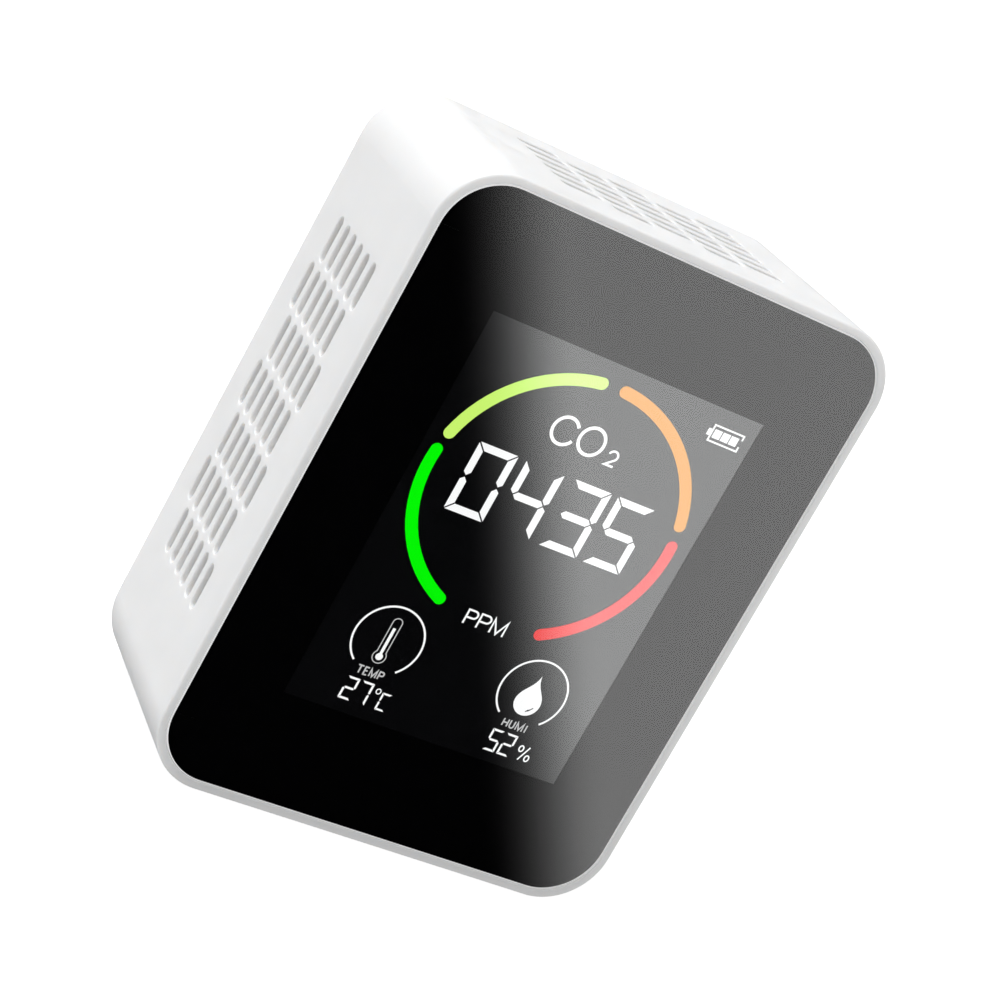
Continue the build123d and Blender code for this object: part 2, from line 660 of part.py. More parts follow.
lead_end_y = cell_front + 2.3
lead_end_z = cell_bottom - CELL_BOARD_HEIGHT


def battery_lead(name, side):
    """One insulated lead from the plug down and back to the cell's guard board."""
    plug_x = CONNECTOR_X + side * LEAD_SPACING / 2
    cell_x = side * LEAD_SPACING - 3.0
    route = [
        (plug_x, plug_back, CONNECTOR_Z),
        (plug_x, plug_back + 5.0, CONNECTOR_Z),
        (plug_x + 4.0, plug_back + 6.0, CONNECTOR_Z - 12.0),
        (cell_x, lead_end_y, lead_end_z - 7.0),
        (cell_x, lead_end_y, lead_end_z),
    ]
    with BuildPart() as lead:
        with BuildLine() as path:
            FilletPolyline(*route, radius=[2.5, 3.0, 3.0])
        start = Plane(origin=route[0], x_dir=(1, 0, 0), z_dir=(0, 1, 0))
        with BuildSketch(start) as section:
            Circle(LEAD_RADIUS)
        sweep(section.sketch, path=path.wire())
    finish(lead, name)


battery_lead("battery_lead_red", -1)
battery_lead("battery_lead_black", 1)

# ---------------------------------------------------------------- screws


def screws(name, points, seat_y, tip_y, head_radius, head_height):
    """Pan-head screws along Y: the head stands behind seat_y, the thread runs forward to tip_y."""
    with BuildPart() as group:
        post(seat_y, seat_y + head_height, head_radius, points)
        fillet(group.edges().group_by(Axis.Y)[-1], 0.4)
        post(tip_y, seat_y + 0.1, SCREW_RADIUS, points)
        # cross recess
        for x, z in points:
            slab(seat_y + head_height - 0.8, seat_y + head_height, 2.0, 0.5, x, z, mode=Mode.SUBTRACT)
            slab(seat_y + head_height - 0.8, seat_y + head_height, 0.5, 2.0, x, z, mode=Mode.SUBTRACT)
    finish(group, name)


screws("case_screws", tower_points, SCREW_HEAD_SEAT, frame_back + 0.2, 1.9, 1.5)
screws("board_screws", board_points, board_back, board_front - 2.2, 1.7, 1.3)
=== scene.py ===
"""Looks of the desk carbon dioxide monitor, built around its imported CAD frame.

Metres, in the frame's own axes: the display faces -Y, +X is to the reader's
right and +Z is up. A size times MM is written in millimetres, one times MICRON in
micrometres.
"""

import json
import math
from typing import NamedTuple

import bmesh
import bpy
from mathutils import Matrix, Quaternion, Vector
from mathutils.geometry import delaunay_2d_cdt


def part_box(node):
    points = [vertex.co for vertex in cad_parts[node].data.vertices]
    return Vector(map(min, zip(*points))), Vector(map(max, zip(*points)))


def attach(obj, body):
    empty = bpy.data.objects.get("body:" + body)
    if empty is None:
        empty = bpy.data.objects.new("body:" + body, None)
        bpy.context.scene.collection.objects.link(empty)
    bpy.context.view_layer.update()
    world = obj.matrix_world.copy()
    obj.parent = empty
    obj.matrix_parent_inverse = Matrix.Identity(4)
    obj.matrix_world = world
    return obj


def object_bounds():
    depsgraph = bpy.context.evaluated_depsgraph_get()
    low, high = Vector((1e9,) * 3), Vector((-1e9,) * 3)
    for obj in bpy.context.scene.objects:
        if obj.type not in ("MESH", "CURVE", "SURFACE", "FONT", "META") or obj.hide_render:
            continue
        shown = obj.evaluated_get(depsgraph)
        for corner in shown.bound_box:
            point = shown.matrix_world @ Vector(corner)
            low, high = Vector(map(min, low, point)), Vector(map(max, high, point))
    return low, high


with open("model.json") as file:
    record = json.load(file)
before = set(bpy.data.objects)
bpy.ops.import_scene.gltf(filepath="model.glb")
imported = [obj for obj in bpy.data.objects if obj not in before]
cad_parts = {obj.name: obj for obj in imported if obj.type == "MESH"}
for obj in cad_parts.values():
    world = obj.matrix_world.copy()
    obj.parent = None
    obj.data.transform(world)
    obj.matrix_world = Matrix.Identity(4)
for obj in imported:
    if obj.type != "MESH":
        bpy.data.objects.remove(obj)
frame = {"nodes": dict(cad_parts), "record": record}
cad_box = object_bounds()
MM = 0.001
MICRON = 1e-6


# ---------------------------------------------------------------- camera
CAMERA_AZIMUTH = -28.68
CAMERA_ELEVATION = 14.96
CAMERA_ROLL = 29.37
CAMERA_DISTANCE = 418.2 * MM
CAMERA_TARGET = Vector((1.72, -1.04, 46.82)) * MM
CAMERA_LENS = 110.8


def outward(azimuth, elevation):
    """Unit vector from the object towards a viewer at this azimuth and elevation."""
    a = math.radians(azimuth)
    e = math.radians(elevation)
    return Vector((math.sin(a) * math.cos(e), -math.cos(a) * math.cos(e), math.sin(e)))


def make_camera():
    camera = bpy.data.objects.new("camera", bpy.data.cameras.new("camera"))
    bpy.context.scene.collection.objects.link(camera)
    back = outward(CAMERA_AZIMUTH, CAMERA_ELEVATION)
    level = (-back).to_track_quat("-Z", "Y")
    camera.rotation_mode = "QUATERNION"
    camera.rotation_quaternion = level @ Quaternion((0, 0, 1), math.radians(CAMERA_ROLL))
    camera.location = CAMERA_TARGET + back * CAMERA_DISTANCE
    camera.data.lens = CAMERA_LENS
    camera.data.clip_start = 0.01
    camera.data.clip_end = 100
    bpy.context.scene.camera = camera
    return camera


# ---------------------------------------------------------------- materials
ACRYLIC_IOR = 1.49
GLASS_IOR = 1.52
PIXEL_PITCH = 0.18 * MM
WINDOW_GLOW = 0.001
PAINTED_EDGE_HIGHLIGHT = 0.22  # painted highlight: the lens's ground edge glows white by this much, though it is no lamp
WEAVE_PITCH = 0.5 * MM  # glass cloth in the boards, and the tracks on the ribbon

CASE_WHITE = (0.83, 0.83, 0.83)
BUTTON_WHITE = (0.80, 0.80, 0.80)
BACKLIGHT_WHITE = (0.82, 0.83, 0.82)
OFF_WHITE = (0.78, 0.76, 0.69)
BEIGE = (0.62, 0.58, 0.48)
SWITCH_RED = (0.42, 0.03, 0.02)
RESIN_BLACK = (0.03, 0.03, 0.033)
DEEP_BLACK = (0.003, 0.003, 0.0035)
FOIL = (0.62, 0.63, 0.65)
STEEL = (0.66, 0.65, 0.63)
SCREW_GREY = (0.58, 0.58, 0.60)
GOLD = (0.83, 0.60, 0.24)
COPPER = (0.72, 0.42, 0.20)


class Look:
    """One material being built. Its textures are measured in metres on the piece."""

    def __init__(self, name, colour, roughness=0.5, **sockets):
        self.material = bpy.data.materials.new(name)
        self.material.use_nodes = True
        self.tree = self.material.node_tree
        self.shader = self.tree.nodes["Principled BSDF"]
        self.place = self.add("ShaderNodeTexCoord").outputs["Object"]
        self.height = None
        self.set("Base Color", colour)
        self.set("Roughness", roughness)
        for socket, value in sockets.items():
            self.set(socket.replace("_", " "), value)

    def put(self, socket, value):
        """Links an output to the socket, or sets a plain value on it."""
        if isinstance(value, bpy.types.NodeSocket):
            self.tree.links.new(value, socket)
        elif isinstance(value, tuple) and len(value) == 3 and socket.type == "RGBA":
            socket.default_value = (*value, 1)
        else:
            socket.default_value = value

    def set(self, socket, value):
        self.put(self.shader.inputs[socket], value)

    def add(self, kind, inputs=None, **settings):
        node = self.tree.nodes.new(kind)
        for key, value in settings.items():
            setattr(node, key, value)
        for key, value in (inputs or {}).items():
            self.put(node.inputs[key], value)
        return node

    def stretched(self, scale, turn=(0, 0, 0)):
        """Coordinates scaled along each axis, after a turn in degrees."""
        angles = tuple(math.radians(a) for a in turn)
        node = self.add("ShaderNodeMapping", {"Vector": self.place, "Rotation": angles, "Scale": scale})
        return node.outputs["Vector"]

    def noise(self, size, detail=2.0, stretch=None):
        """Cloudy pattern from 0 to 1 with features of about this size in metres."""
        where = self.stretched(stretch) if stretch else self.place
        node = self.add("ShaderNodeTexNoise", {"Vector": where, "Scale": 1 / size, "Detail": detail})
        return node.outputs["Fac"]

    def cells(self, size):
        """Distance to the middle of the nearest of many scattered cells."""
        node = self.add("ShaderNodeTexVoronoi", {"Vector": self.place, "Scale": 1 / size})
        return node.outputs["Distance"]

    def stripes(self, pitch, axis):
        """Sine stripes from 0 to 1, repeating at this pitch along an axis."""
        scale = math.pi / (10 * pitch)
        node = self.add("ShaderNodeTexWave", {"Vector": self.place, "Scale": scale}, bands_direction=axis)
        return node.outputs["Fac"]

    def remap(self, value, from_low, from_high, to_low=0.0, to_high=1.0):
        node = self.add("ShaderNodeMapRange", {
            "Value": value, "From Min": from_low, "From Max": from_high,
            "To Min": to_low, "To Max": to_high,
        })
        return node.outputs["Result"]

    def maths(self, operation, a, b=0.0):
        node = self.add("ShaderNodeMath", operation=operation)
        self.put(node.inputs[0], a)
        self.put(node.inputs[1], b)
        return node.outputs[0]

    def blend(self, factor, first, second):
        """First colour where factor is 0, second where it is 1."""
        node = self.add("ShaderNodeMix", data_type="RGBA")
        self.put(node.inputs["Factor"], factor)
        self.put(node.inputs[6], first)
        self.put(node.inputs[7], second)
        return node.outputs[2]

    def bump(self, height, depth):
        """Raises the surface by up to depth metres where height is 1, over any earlier bump."""
        node = self.add("ShaderNodeBump", {"Height": height, "Distance": depth})
        if self.height:
            self.put(node.inputs["Normal"], self.height)
        self.height = node.outputs["Normal"]
        self.set("Normal", self.height)

    def mottle(self, colour, spread, size, detail=3.0):
        """Colour that wanders by spread of itself, in patches of this size."""
        darker = tuple(c * (1 - spread) for c in colour)
        brighter = tuple(min(1.0, c * (1 + spread)) for c in colour)
        patches = self.remap(self.noise(size, detail), 0.35, 0.65)
        self.set("Base Color", self.blend(patches, darker, brighter))

    def vary_roughness(self, low, high, size, detail=2.0):
        self.set("Roughness", self.remap(self.noise(size, detail), 0.3, 0.7, low, high))


def moulded(name, colour, roughness, grain=0.16, depth=4.0, spread=0.02, **sockets):
    """Moulded plastic: fine spark texture of the tool, slow flow marks, faint scuffs.
    grain is in millimetres and depth in micrometres."""
    look = Look(name, colour, roughness, **sockets)
    look.mottle(colour, spread, 9 * MM)
    look.vary_roughness(roughness - 0.05, roughness + 0.05, 3.5 * MM)
    look.bump(look.noise(grain * MM, 3.0), depth * MICRON)
    look.bump(look.noise(5 * MM, 1.0), 6 * MICRON)
    return look


def case_plastic():
    look = moulded("case_plastic", CASE_WHITE, 0.42, grain=0.14, depth=3.5, spread=0.008,
                   Subsurface_Weight=0.6, Subsurface_Scale=2.4 * MM)
    look.shader.inputs["Subsurface Radius"].default_value = (1.0, 0.9, 0.8)
    return look.material


def button_plastic():
    look = moulded("button_plastic", BUTTON_WHITE, 0.36, grain=0.11, depth=2.0, spread=0.01)
    return look.material


def black_moulding(name, level, roughness):
    colour = (level, level, level * 1.05)
    return moulded(name, colour, roughness, grain=0.12, depth=5.0, spread=0.12).material


def foam_tape():
    look = Look("foam_tape", (0.05, 0.05, 0.05), 0.85)
    pores = look.cells(0.16 * MM)
    # pore middles are painted darker than the walls between them: painted shade in the pits that the bump
    # below sinks
    pore_shade_mask = look.remap(pores, 0.1, 0.6)
    look.set("Base Color", look.blend(pore_shade_mask, (0.02, 0.02, 0.02), (0.10, 0.10, 0.10)))
    look.bump(pores, 20 * MICRON)
    return look.material


def lens_acrylic():
    """Clear sheet: what lies behind shows through, its outer face mirrors the studio, and its ground edge
    is frosted and glows white with a painted highlight, though it is no lamp."""
    # the emission on this frosted edge shader is a painted highlight, a bright line painted on the edge
    look = Look("lens_acrylic", (0.86, 0.86, 0.86), 0.45, Emission_Strength=PAINTED_EDGE_HIGHLIGHT)
    look.set("Emission Color", (1.0, 1.0, 1.0))
    look.vary_roughness(0.38, 0.55, 0.4 * MM)
    look.bump(look.noise(0.08 * MM, 2.0, stretch=(1, 0.2, 1)), 6 * MICRON)
    surface = look.add("ShaderNodeNewGeometry").outputs
    smudge = look.remap(look.noise(14 * MM, 4.0), 0.52, 0.75, 0.0, 0.03)
    gloss = look.add("ShaderNodeBsdfGlossy", {
        "Color": (1, 1, 1), "Roughness": smudge, "Normal": surface["True Normal"]})
    clear = look.add("ShaderNodeBsdfTransparent", {"Color": (0.985, 0.99, 0.99)})
    outer = look.maths("SUBTRACT", 1.0, surface["Backfacing"])
    mirror = look.add("ShaderNodeFresnel", {"IOR": ACRYLIC_IOR}).outputs["Fac"]
    sheet = look.add("ShaderNodeMixShader", {"Fac": look.maths("MULTIPLY", mirror, outer)})
    look.put(sheet.inputs[1], clear.outputs["BSDF"])
    look.put(sheet.inputs[2], gloss.outputs["BSDF"])
    facing = look.add("ShaderNodeSeparateXYZ", {"Vector": surface["True Normal"]}).outputs["Y"]
    # faces of the ground edge get the frosted shader, which carries the painted edge highlight
    edge = look.maths("LESS_THAN", look.maths("ABSOLUTE", facing), 0.9)
    whole = look.add("ShaderNodeMixShader", {"Fac": edge})
    look.put(whole.inputs[1], sheet.outputs["Shader"])
    look.put(whole.inputs[2], look.shader.outputs["BSDF"])
    look.put(look.tree.nodes["Material Output"].inputs["Surface"], whole.outputs["Shader"])
    return look.material


def black_print():
    look = Look("black_print", (0.0012, 0.0012, 0.0014), 0.6)
    look.set("Specular IOR Level", 0.0)
    screen = look.noise(0.09 * MM, 1.0)
    look.set("Base Color", look.blend(screen, (0.0008, 0.0008, 0.0010), (0.0016, 0.0016, 0.0018)))
    look.bump(screen, 2 * MICRON)
    return look.material


def pixel_grid(look, low, high):
    """Brightness of the display's square pixels: a little lower on the lines between them."""
    across = look.stripes(PIXEL_PITCH, "X")
    down = look.stripes(PIXEL_PITCH, "Z")
    return look.remap(look.maths("MINIMUM", across, down), 0.0, 0.35, low, high)


def polish(look):
    """Near-mirror gloss of the display, a little duller in slow patches."""
    look.set("Roughness", look.remap(look.noise(11 * MM, 3.0), 0.4, 0.7, 0.02, 0.05))


def polarizer_film():
    look = Look("polarizer_film", DEEP_BLACK, IOR=ACRYLIC_IOR)
    look.mottle(DEEP_BLACK, 0.1, 6 * MM)
    polish(look)
    glow = look.blend(pixel_grid(look, 0.0, 1.0), (0.6, 0.62, 0.66), (0.9, 0.93, 1.0))
    look.set("Emission Color", glow)
    look.set("Emission Strength", WINDOW_GLOW)
    return look.material


def lit_pixels(name, colour, strength=1.04):
    """Pixels of one colour, lit by the panel behind them."""
    look = Look(name, (0.003, 0.003, 0.003), IOR=ACRYLIC_IOR)
    dimmer = tuple(c * 0.95 for c in colour)
    look.set("Emission Color", look.blend(pixel_grid(look, 0.0, 1.0), dimmer, colour))
    look.set("Emission Strength", strength)
    polish(look)
    return look.material


def display_glass():
    look = Look("display_glass", (0.30, 0.34, 0.35), IOR=GLASS_IOR)
    grid = pixel_grid(look, 0.0, 1.0)
    look.set("Base Color", look.blend(grid, (0.05, 0.055, 0.06), (0.20, 0.235, 0.24)))
    look.set("Roughness", look.remap(look.noise(4 * MM), 0.4, 0.7, 0.05, 0.12))
    return look.material


def silicon():
    look = Look("silicon", (0.05, 0.05, 0.07), 0.18, Metallic=0.35)
    look.mottle((0.06, 0.06, 0.085), 0.25, 0.6 * MM)
    look.vary_roughness(0.14, 0.26, 0.4 * MM)
    return look.material


def flex_film():
    """Amber ribbon with copper tracks that run along it."""
    look = Look("flex_film", (0.5, 0.24, 0.05), 0.3, Coat_Weight=0.3)
    tracks = look.remap(look.stripes(WEAVE_PITCH, "X"), 0.45, 0.6)
    look.set("Base Color", look.blend(tracks, (0.36, 0.15, 0.025), (0.66, 0.33, 0.10)))
    look.vary_roughness(0.22, 0.36, 2 * MM)
    look.bump(tracks, 12 * MICRON)
    return look.material


def laminate(name, mask, track):
    """Circuit board: solder mask over copper tracks, plated vias with painted shade for their holes,
    glass weave showing faintly.
    """
    look = Look(name, mask, 0.3, Coat_Weight=0.25)
    flat = look.stretched((1, 1, 1), (90, 0, 0))
    routes = look.add("ShaderNodeTexBrick", {
        "Vector": flat, "Scale": 1 / (7 * MM), "Mortar Size": 0.018, "Brick Width": 0.83,
        "Row Height": 0.19, "Color1": (0, 0, 0), "Color2": (0, 0, 0), "Mortar": (1, 1, 1),
    }, offset=0.37, squash=0.7).outputs["Color"]
    here = look.remap(look.noise(6 * MM, 1.0), 0.45, 0.5)
    tracks = look.maths("MULTIPLY", routes, here)
    shade = look.blend(tracks, mask, track)
    vias = look.remap(look.cells(2.6 * MM), 0.10, 0.13, 1.0, 0.0)
    # near-black dots in the middle of the vias are painted shade standing in for holes that are not
    # modelled
    painted_hole_shade = look.remap(look.cells(2.6 * MM), 0.045, 0.06, 1.0, 0.0)
    shade = look.blend(vias, shade, COPPER)
    look.set("Base Color", look.blend(painted_hole_shade, shade, (0.01, 0.01, 0.01)))
    weave = look.maths("MULTIPLY", look.stripes(WEAVE_PITCH, "X"), look.stripes(WEAVE_PITCH, "Z"))
    look.vary_roughness(0.24, 0.34, 1.5 * MM)
    look.bump(weave, 3 * MICRON)
    look.bump(look.maths("MAXIMUM", tracks, vias), 25 * MICRON)
    return look.material


def metal(name, colour, roughness, brush=(1, 1, 1), size=0.3, depth=0.5):
    """Plated or brushed metal. brush stretches its marks, size is in millimetres and depth in
    micrometres."""
    look = Look(name, colour, roughness, Metallic=1.0)
    look.mottle(colour, 0.08, 2.5 * MM)
    marks = look.noise(size * MM, 2.0, stretch=brush)
    look.set("Roughness", look.remap(marks, 0.3, 0.7, roughness - 0.07, roughness + 0.1))
    look.bump(marks, depth * MICRON)
    return look.material


def membrane():
    look = Look("membrane", (0.86, 0.86, 0.84), 0.9, Sheen_Weight=0.3)
    fibres = look.noise(0.12 * MM, 4.0, stretch=(1, 1, 3))
    look.set("Base Color", look.blend(fibres, (0.74, 0.74, 0.72), (0.92, 0.92, 0.90)))
    look.bump(fibres, 30 * MICRON)
    return look.material


def chip_resin():
    look = Look("chip_resin", RESIN_BLACK)
    look.mottle(RESIN_BLACK, 0.2, 0.5 * MM)
    look.vary_roughness(0.48, 0.66, 0.2 * MM)
    look.bump(look.noise(0.05 * MM, 3.0), 5 * MICRON)
    return look.material


def ceramic(name, colour, roughness, fleck):
    """Fired ceramic body with small flecks of another tone."""
    look = Look(name, colour, roughness)
    flecks = look.remap(look.cells(0.11 * MM), 0.1, 0.5)
    look.set("Base Color", look.blend(flecks, fleck, colour))
    look.bump(look.noise(0.06 * MM), 6 * MICRON)
    return look.material


def insulation(name, colour):
    look = Look(name, colour, 0.42)
    look.mottle(colour, 0.08, 1.5 * MM)
    look.vary_roughness(0.36, 0.5, 0.8 * MM)
    look.bump(look.noise(0.2 * MM), 6 * MICRON)
    return look.material


def cell_pouch():
    """Laminated foil: long soft wrinkles, fine crinkles and a satin face."""
    look = Look("cell_pouch", FOIL, Metallic=0.85)
    look.mottle(FOIL, 0.06, 12 * MM)
    crinkle = look.noise(1.6 * MM, 4.0)
    look.set("Roughness", look.remap(crinkle, 0.3, 0.7, 0.26, 0.44))
    look.bump(look.noise(9 * MM, 2.0, stretch=(1, 1, 0.4)), 220 * MICRON)
    look.bump(crinkle, 25 * MICRON)
    return look.material


SLOT_LOOKS = {
    "case_plastic": case_plastic(),
    "frame_plastic": black_moulding("frame_plastic", 0.03, 0.55),
    "lens_acrylic": lens_acrylic(),
    "black_print": black_print(),
    "foam_tape": foam_tape(),
    "polarizer_film": polarizer_film(),
    "display_glass": display_glass(),
    "silicon": silicon(),
    "backlight_plastic": moulded("backlight_plastic", BACKLIGHT_WHITE, 0.4, spread=0.03).material,
    "flex_film": flex_film(),
    "connector_plastic": moulded("connector_plastic", BEIGE, 0.5, depth=6.0, spread=0.05).material,
    "board_laminate": laminate("board_laminate", (0.006, 0.10, 0.035), (0.02, 0.20, 0.075)),
    "plated_steel": metal("plated_steel", STEEL, 0.24, brush=(0.15, 1, 1)),
    "black_nylon": black_moulding("black_nylon", 0.028, 0.48),
    "switch_nylon": moulded("switch_nylon", SWITCH_RED, 0.45, spread=0.06).material,
    "button_plastic": button_plastic(),
    "sensor_laminate": laminate("sensor_laminate", (0.006, 0.035, 0.17), (0.02, 0.09, 0.30)),
    "pin_metal": metal("pin_metal", GOLD, 0.22, size=0.15),
    "gold_plating": metal("gold_plating", GOLD, 0.27, size=0.5, depth=1.5),
    "membrane": membrane(),
    "chip_resin": chip_resin(),
    "ferrite": ceramic("ferrite", (0.07, 0.07, 0.075), 0.6, (0.12, 0.12, 0.13)),
    "capacitor_ceramic": ceramic("capacitor_ceramic", (0.42, 0.27, 0.14), 0.45, (0.30, 0.18, 0.09)),
    "resistor_ceramic": ceramic("resistor_ceramic", (0.02, 0.02, 0.022), 0.3, (0.05, 0.05, 0.055)),
    "buzzer_plastic": black_moulding("buzzer_plastic", 0.03, 0.42),
    "white_nylon": moulded("white_nylon", OFF_WHITE, 0.45, depth=5.0, spread=0.03).material,
    "lead_red": insulation("lead_red", (0.52, 0.012, 0.01)),
    "lead_black": insulation("lead_black", (0.02, 0.02, 0.02)),
    "cell_pouch": cell_pouch(),
    "screw_steel": metal("screw_steel", SCREW_GREY, 0.32, size=0.2, depth=1.0),
}


def dress_frame():
    """Gives every CAD node the look of its material slot."""
    for part in frame["record"]["subparts"]:
        node = frame["nodes"][part["node"]]
        node.data.materials.clear()
        node.data.materials.append(SLOT_LOOKS[part["material_slot"]])


# ---------------------------------------------------------------- drawing on the display
PIXEL_LIFT = 0.012 * MM
PIXEL_DEPTH = 0.03 * MM
ARC_STEP = 4.0  # degrees between the points of an arc
MITRE_LIMIT = 0.35  # keeps a sharp corner from running far out

film_low, film_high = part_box("lcd_polarizer")
PICTURE_SHIFT = Vector((0.23, 0, -0.21)) * MM  # the picture isn't quite in the middle of the film
PICTURE_MIDDLE = (film_low + film_high) / 2 + PICTURE_SHIFT
DISPLAY_FACE = film_low.y - PIXEL_LIFT


def arc(x, z, across, up, start, end):
    """Points along an ellipse from the start to the end angle, anticlockwise in degrees."""
    steps = max(2, round(abs(end - start) / ARC_STEP))
    angles = [math.radians(start + (end - start) * i / steps) for i in range(steps + 1)]
    return [(x + across * math.cos(a), z + up * math.sin(a)) for a in angles]


def offset_side(points, distance, closed):
    """Points moved sideways by distance, with mitred corners."""
    count = len(points)
    moved = []
    for i, here in enumerate(points):
        before = points[i - 1] if closed or i > 0 else None
        after = points[(i + 1) % count] if closed or i < count - 1 else None
        sides = []
        for first, second in ((before, here), (here, after)):
            if first and second:
                run = Vector(second) - Vector(first)
                sides.append(Vector((-run.y, run.x)).normalized())
        middle = sum(sides, Vector((0, 0))).normalized()
        reach = distance / max(MITRE_LIMIT, middle.dot(sides[0]))
        moved.append((here[0] + middle.x * reach, here[1] + middle.y * reach))
    return moved


class Plate:
    """Flat shapes in the plane of the display, in millimetres from the middle of its picture."""

    def __init__(self):
        self.shapes = []

    def solid(self, outline):
        """A filled shape. It may overlap the plate's other shapes, and becomes one with them."""
        turning = sum(a[0] * b[1] - b[0] * a[1] for a, b in zip(outline, outline[1:] + outline[:1]))
        self.shapes.append(outline if turning > 0 else outline[::-1])

    def stroke(self, points, width, closed=False, rounded=False):
        left = offset_side(points, width / 2, closed)
        right = offset_side(points, -width / 2, closed)
        for i in range(0 if closed else 1, len(points)):
            self.solid([left[i - 1], left[i], right[i], right[i - 1]])
        if rounded:
            for x, z in (points[0], points[-1]):
                self.solid(arc(x, z, width / 2, width / 2, 0, 360)[:-1])

    def merged(self):
        """The points and triangles of all the shapes together, each place covered once."""
        corners = [Vector(point) for shape in self.shapes for point in shape]
        outlines = []
        count = 0
        for shape in self.shapes:
            outlines.append(list(range(count, count + len(shape))))
            count += len(shape)
        points, _, triangles, _, _, origins = delaunay_2d_cdt(corners, [], outlines, 0, 1e-5, True)
        return points, [triangle for triangle, origin in zip(triangles, origins) if origin]

    def finish(self, name, look, lift=0.0):
        """Makes the piece, in front of the display film, riding on the housing."""
        points, triangles = self.merged()
        mesh = bmesh.new()
        front, back = (
            [mesh.verts.new((x * MM, depth, z * MM)) for x, z in points] for depth in (0, PIXEL_DEPTH))
        rims = {(tri[i - 1], tri[i]) for tri in triangles for i in range(3)}
        for tri in triangles:
            mesh.faces.new([front[i] for i in tri])
            mesh.faces.new([back[i] for i in reversed(tri)])
        for a, b in sorted(rims):
            if (b, a) not in rims:
                mesh.faces.new((front[b], front[a], back[a], back[b]))
        loose = [v for v in mesh.verts if not v.link_faces]
        bmesh.ops.delete(mesh, geom=loose, context="VERTS")
        data = bpy.data.meshes.new(name)
        mesh.to_mesh(data)
        mesh.free()
        data.materials.append(look)
        piece = bpy.data.objects.new(name, data)
        bpy.context.scene.collection.objects.link(piece)
        piece.location = (PICTURE_MIDDLE.x, DISPLAY_FACE - PIXEL_DEPTH - lift, PICTURE_MIDDLE.z)
        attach(piece, "housing")


# t top, a upper left, b upper right, m middle, e lower left, f lower right, d bottom
SEGMENTS = {
    "0": "tabedf", "2": "tbmed", "3": "tbmfd", "4": "abmf", "5": "tamfd", "7": "tbf", "C": "taed",
}


class Digits(NamedTuple):
    """A row of segment digits as (digit, left edge), and the size of each."""
    digits: list
    bottom: float
    width: float
    height: float
    thick: float
    gap: float


class Letters(NamedTuple):
    """A row of letters as (letter, left edge, width), all standing on one line."""
    letters: list
    bottom: float
    height: float
    thick: float


def segment_outlines(width, height, thick, gap):
    """The seven segments of one digit in a cell whose lower left corner is the origin."""
    mid = height / 2
    half = thick / 2
    top = [(gap, height), (width - gap, height), (width - thick - gap, height - thick),
           (thick + gap, height - thick)]
    upper_left = [(0, height - gap), (thick, height - thick - gap), (thick, mid + half + gap),
                  (half, mid + gap), (0, mid + half * 0.8 + gap)]
    middle = [(half + gap, mid), (thick + gap, mid + half), (width - thick - gap, mid + half),
              (width - half - gap, mid), (width - thick - gap, mid - half), (thick + gap, mid - half)]

    def mirrored(points):
        return [(width - x, z) for x, z in points]

    def flipped(points):
        return [(x, height - z) for x, z in points]

    return {
        "t": top, "a": upper_left, "b": mirrored(upper_left), "m": middle,
        "e": flipped(upper_left), "f": flipped(mirrored(upper_left)), "d": flipped(top),
    }


def write_digits(plate, row, x=0.0, z=0.0):
    """Draws the row, whose places are measured from x and z."""
    outlines = segment_outlines(row.width, row.height, row.thick, row.gap)
    for digit, left in row.digits:
        for key in SEGMENTS[digit]:
            plate.solid([(x + left + px, z + row.bottom + pz) for px, pz in outlines[key]])


def letter_strokes(letter, w, h):
    """Strokes of a plain letter in a cell w wide and h high, as (points, closed)."""
    if letter == "C":
        return [(arc(w * 0.55, h / 2, w * 0.55, h / 2, 31, 330), False)]
    if letter == "O":
        return [(arc(w / 2, h / 2, w / 2, h / 2, 0, 360)[:-1], True)]
    if letter == "2":
        hook = arc(w / 2, h - w * 0.48, w * 0.48, w * 0.48, 168, -38)
        return [(hook + [(w * 0.06, 0), (w, 0)], False)]
    if letter == "P":
        bowl = arc(w * 0.62, h * 0.74, w * 0.38, h * 0.26, 90, -90)
        return [([(0, 0), (0, h)] + bowl + [(0, h * 0.48)], False)]
    if letter == "M":
        return [([(0, 0), (0, h), (w / 2, h * 0.04), (w, h), (w, 0)], False)]
    if letter == "T":
        return [([(0, h), (w, h)], False), ([(w / 2, 0), (w / 2, h)], False)]
    if letter == "E":
        bar = [(0, h * 0.53), (w * 0.85, h * 0.53)]
        return [([(w, h), (0, h), (0, 0), (w, 0)], False), (bar, False)]
    if letter == "H":
        bar = [(0, h / 2), (w, h / 2)]
        return [([(0, 0), (0, h)], False), ([(w, 0), (w, h)], False), (bar, False)]
    if letter == "U":
        return [([(0, h)] + arc(w / 2, h * 0.36, w / 2, h * 0.36, 180, 360) + [(w, h)], False)]
    if letter == "I":
        return [([(0, 0), (0, h)], False)]
    if letter == "%":
        upper = arc(w * 0.16, h * 0.76, w * 0.15, h * 0.2, 0, 360)[:-1]
        lower = arc(w * 0.84, h * 0.24, w * 0.15, h * 0.2, 0, 360)[:-1]
        return [(upper, True), (lower, True), ([(w * 0.28, 0), (w * 0.72, h)], False)]
    raise ValueError(f"no strokes for the letter {letter}")


def write_letters(plate, row, x=0.0, z=0.0):
    """Draws the row, whose places are measured from x and z."""
    inset = row.thick / 2
    for letter, left, width in row.letters:
        for points, closed in letter_strokes(letter, max(width - row.thick, 0.0), row.height - row.thick):
            placed = [(x + left + inset + px, z + row.bottom + inset + pz) for px, pz in points]
            plate.stroke(placed, row.thick, closed)


LIT_WHITE = lit_pixels("lit_white", (1.0, 1.0, 1.0))
LIT_SOFT = lit_pixels("lit_soft_white", (0.82, 0.82, 0.82), 0.7)
DARK_PIXELS = lit_pixels("dark_pixels", (0.01, 0.01, 0.01), 0.02)

